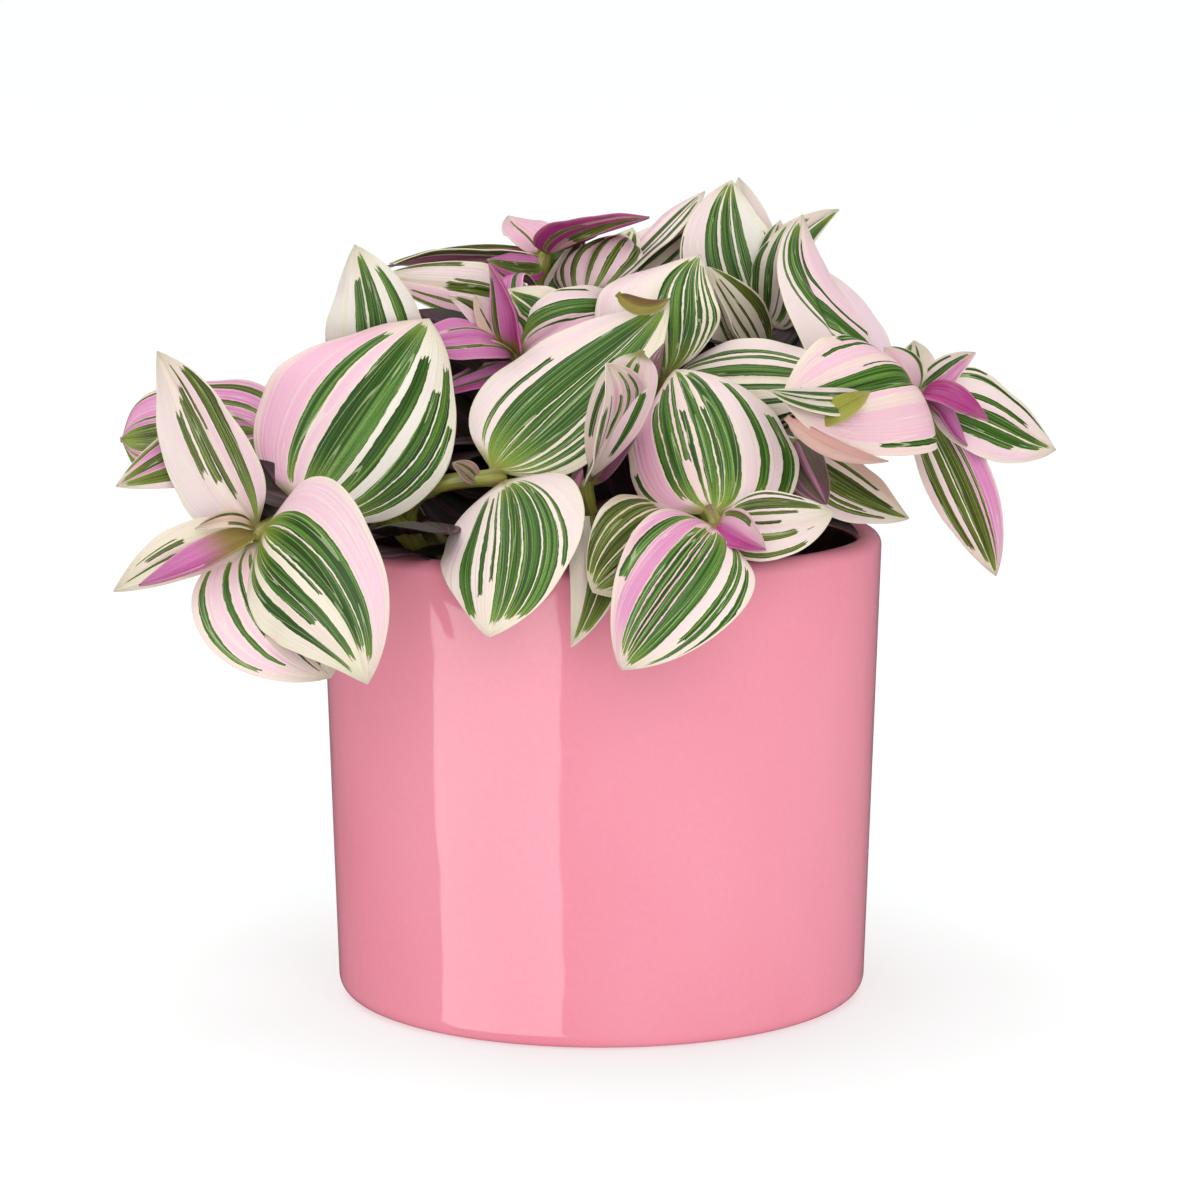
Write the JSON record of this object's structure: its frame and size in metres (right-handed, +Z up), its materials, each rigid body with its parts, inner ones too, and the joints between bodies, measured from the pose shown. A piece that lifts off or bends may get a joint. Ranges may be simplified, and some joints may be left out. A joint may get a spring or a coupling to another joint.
{
  "type": "potted tradescantia",
  "caption": "Trailing house plant with cream, pink and green striped leaves in a round glazed pink flower pot that stands free.",
  "frame": {"origin": "centre of the pot's flat underside", "axes": "+Z up, +X to the right seen from the front, +Y away from the front; the plant is widest along X"},
  "size_m": [0.2274, 0.2012, 0.2029],
  "materials": {
    "pink_glaze": "glossy pink glaze",
    "nursery_plastic": "dark thin moulded plastic",
    "potting_soil": "dark moist potting mix",
    "stem": "satin green stem flushed with purple",
    "leaf": "satin striped leaf, purple underneath"
  },
  "bodies": {
    "root": {"leaf_centre_side": "leaf", "leaf_centre_wide": "leaf", "leaf_front_furled": "leaf", "leaf_front_inner": "leaf", "leaf_front_low": "leaf", "leaf_front_side": "leaf", "leaf_front_small": "leaf", "leaf_front_up": "leaf", "leaf_front_young": "leaf", "leaf_left_creep_large": "leaf", "leaf_left_creep_low": "leaf", "leaf_left_front": "leaf", "leaf_left_large": "leaf", "leaf_left_low": "leaf", "leaf_left_out": "leaf", "leaf_left_up": "leaf", "leaf_left_young": "leaf", "leaf_middle_arched": "leaf", "leaf_middle_back": "leaf", "leaf_middle_barred": "leaf", "leaf_middle_furled": "leaf", "leaf_middle_pale": "leaf", "leaf_middle_purple": "leaf", "leaf_outer_back": "leaf", "leaf_outer_out": "leaf", "leaf_outer_tall": "leaf", "leaf_rear_left_low": "leaf", "leaf_rear_left_out": "leaf", "leaf_rear_right_low": "leaf", "leaf_rear_right_out": "leaf", "leaf_rear_right_side": "leaf", "leaf_right_inner": "leaf", "leaf_right_large": "leaf", "leaf_right_low": "leaf", "leaf_right_out": "leaf", "leaf_right_tall": "leaf", "leaf_right_under": "leaf", "leaf_right_young": "leaf", "leaf_tall_long": "leaf", "leaf_tall_magenta": "leaf", "leaf_tall_rear": "leaf", "leaf_tall_wide": "leaf", "leaf_top_back": "leaf", "leaf_top_bent": "leaf", "leaf_top_peak": "leaf", "leaf_top_rear": "leaf", "leaf_top_right": "leaf", "nursery_pot": "nursery_plastic", "pot": "pink_glaze", "potting_soil": "potting_soil", "stem_centre": "stem", "stem_front": "stem", "stem_left": "stem", "stem_middle": "stem", "stem_outer": "stem", "stem_rear_left": "stem", "stem_rear_right": "stem", "stem_right": "stem", "stem_tall": "stem", "stem_top": "stem"}
  },
  "joints": []
}
